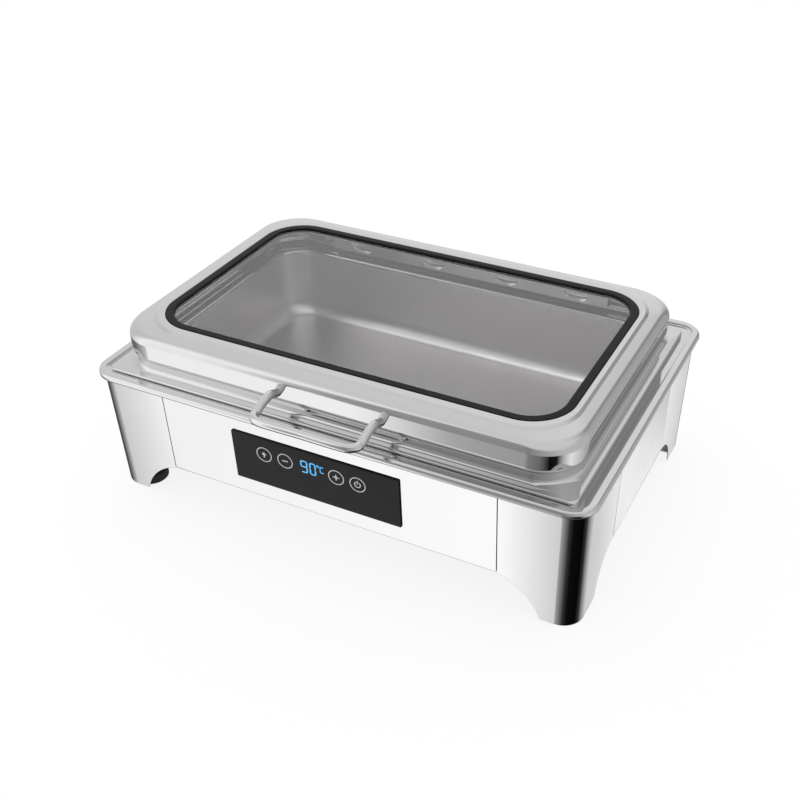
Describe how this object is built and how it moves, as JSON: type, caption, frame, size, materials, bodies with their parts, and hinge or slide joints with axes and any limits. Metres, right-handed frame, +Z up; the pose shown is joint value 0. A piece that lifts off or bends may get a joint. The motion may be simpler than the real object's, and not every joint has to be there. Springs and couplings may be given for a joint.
{
  "type": "electric chafing dish",
  "caption": "Polished rectangular electric food warmer with a lift-out pan, a glass-topped hinged lid with a bow handle, and a black touch panel in the front skirt.",
  "frame": {"origin": "on the table, under the middle of the whole dish, handle and hinge included", "axes": "+Z up, +X along the long side to the right of the person at the handle, +Y towards the hinge"},
  "size_m": [0.602, 0.45, 0.2169],
  "materials": {
    "base_steel": "mirror-polished stainless steel",
    "rim_steel": "mirror-polished stainless steel",
    "lid_steel": "mirror-polished stainless steel",
    "satin_steel": "satin stainless steel",
    "pan_steel": "satin stainless steel, soft sheen",
    "zinc_steel": "zinc-plated steel",
    "chrome": "bright chrome",
    "aluminium": "plain aluminium sheet",
    "foot_rubber": "matt black rubber",
    "seal_rubber": "black silicone with a soft sheen",
    "window_glass": "clear tempered glass",
    "control_glass": "glossy black panel with printed rings and a blue figure",
    "dark_plastic": "dark moulded plastic",
    "board_green": "green circuit board"
  },
  "bodies": {
    "base": {"leg_front_left": "base_steel", "leg_plate_front_left": "zinc_steel", "foot_front_left": "foot_rubber", "leg_front_right": "base_steel", "leg_plate_front_right": "zinc_steel", "foot_front_right": "foot_rubber", "leg_rear_left": "base_steel", "leg_plate_rear_left": "zinc_steel", "foot_rear_left": "foot_rubber", "leg_rear_right": "base_steel", "leg_plate_rear_right": "zinc_steel", "foot_rear_right": "foot_rubber", "panel_front": "base_steel", "panel_rear": "base_steel", "panel_left": "base_steel", "panel_right": "base_steel", "rim_frame": "rim_steel", "water_pan": "satin_steel", "bottom_cover": "zinc_steel", "heat_spreader": "aluminium", "clamp_bar_left": "zinc_steel", "clamp_bar_right": "zinc_steel", "heating_element": "zinc_steel", "thermal_cutout": "dark_plastic", "temperature_sensor": "zinc_steel", "control_glass": "control_glass", "control_box": "dark_plastic", "control_board": "board_green", "display_module": "dark_plastic", "mains_inlet": "dark_plastic", "power_tray": "dark_plastic", "power_board": "board_green", "relay": "dark_plastic", "transformer": "zinc_steel", "hinge_barrel": "lid_steel", "hinge_sleeve_left": "dark_plastic", "hinge_sleeve_right": "dark_plastic", "barrel_screw_left": "zinc_steel", "barrel_screw_right": "zinc_steel"},
    "food_pan": {"food_pan": "pan_steel"},
    "lid": {"lid_shell": "lid_steel", "window_seal": "seal_rubber", "glass_pane": "window_glass", "glass_retainer": "satin_steel", "handle": "chrome", "handle_nut_left": "zinc_steel", "handle_nut_right": "zinc_steel", "lid_stiffener": "satin_steel", "hinge_arm_left": "lid_steel", "hinge_arm_right": "lid_steel", "hinge_cap_left": "chrome", "hinge_cap_right": "chrome", "hinge_shaft": "zinc_steel", "arm_screw_left_1": "zinc_steel", "arm_screw_left_2": "zinc_steel", "arm_screw_right_1": "zinc_steel", "arm_screw_right_2": "zinc_steel"}
  },
  "joints": [
    {"name": "lid_hinge", "type": "hinge", "parent": "base", "child": "lid", "pos_m": [0.008, 0.20847, 0.1815], "axis": [-1, 0, 0], "range_deg": [0, 90]},
    {"name": "food_pan_lift", "type": "slide", "parent": "base", "child": "food_pan", "axis": [0, 0, 1], "range_m": [0, 0.03]}
  ]
}
